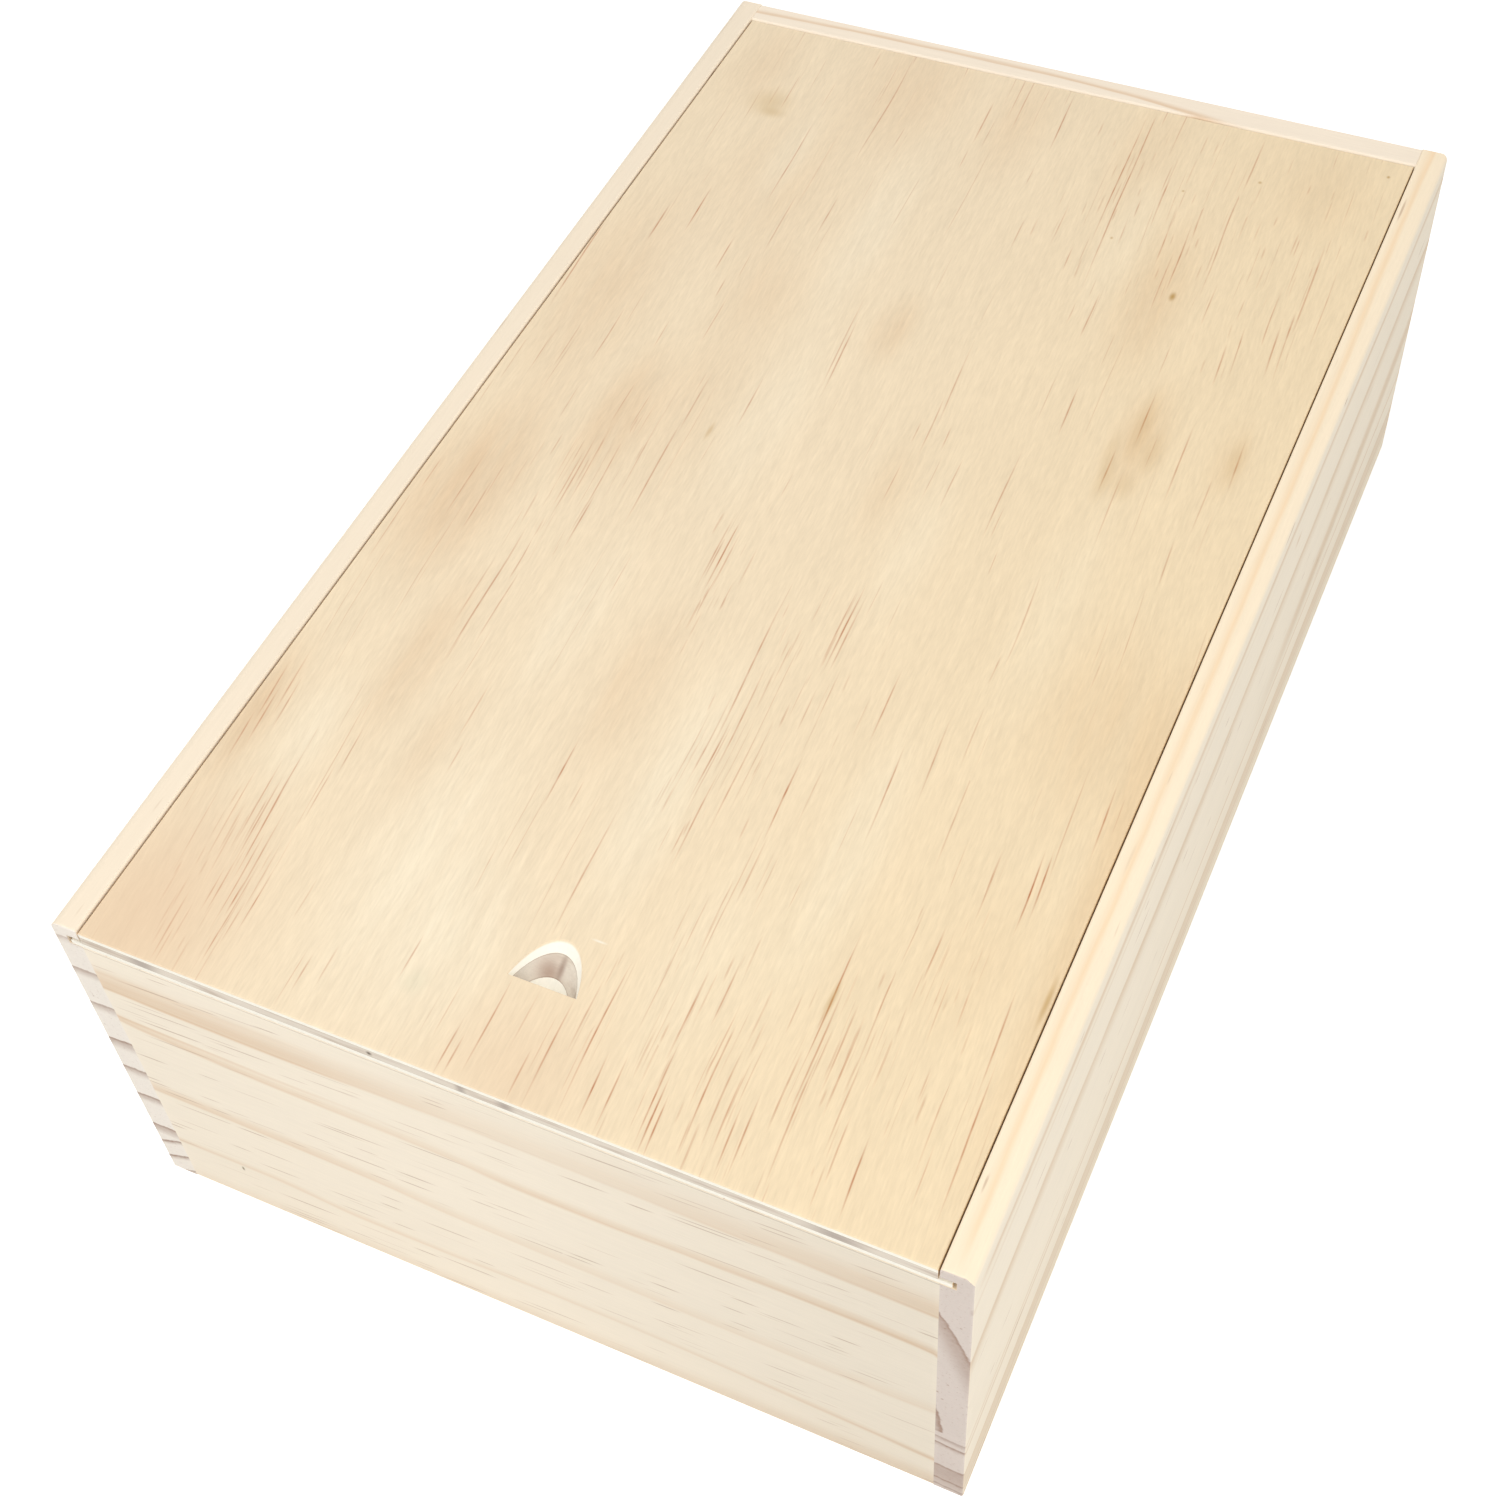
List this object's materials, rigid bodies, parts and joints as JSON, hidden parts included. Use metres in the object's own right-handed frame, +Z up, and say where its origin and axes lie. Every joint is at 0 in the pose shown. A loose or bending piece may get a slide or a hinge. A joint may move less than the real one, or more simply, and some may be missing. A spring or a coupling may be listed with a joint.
{
  "type": "sliding lid box",
  "caption": "Long shallow wooden keepsake box whose plywood lid slides in grooves over the lower front board, with a scooped thumb notch.",
  "frame": {"origin": "middle of the underside, on the surface that the box stands on", "axes": "+Y towards the back board (the lid slides out towards -Y), +X to the right when facing the front board from -Y, +Z up"},
  "size_m": [0.21, 0.355, 0.109],
  "materials": {
    "side_board_wood": "sanded, unfinished pale pine with broad growth rings and short dark resin lines",
    "end_board_wood": "sanded, unfinished pale pine with broad growth rings and short dark resin lines",
    "face_veneer": "sanded, unfinished pine show veneer, cloudy cream and tan with fine brown resin lines",
    "core_veneer": "cross-banded core, grey-brown end grain",
    "back_veneer": "sanded, unfinished pine back veneer, cream"
  },
  "bodies": {
    "box": {"left_side_upper_board": "side_board_wood", "left_side_lower_board": "side_board_wood", "right_side_upper_board": "side_board_wood", "right_side_lower_board": "side_board_wood", "front_board": "end_board_wood", "back_board": "end_board_wood", "base_top_ply": "face_veneer", "base_core_ply": "core_veneer", "base_bottom_ply": "back_veneer"},
    "lid": {"lid_top_ply": "face_veneer", "lid_core_ply": "core_veneer", "lid_bottom_ply": "back_veneer"}
  },
  "joints": [
    {"name": "lid_slide", "type": "slide", "parent": "box", "child": "lid", "axis": [0, -1, 0], "range_m": [0, 0.36]}
  ]
}
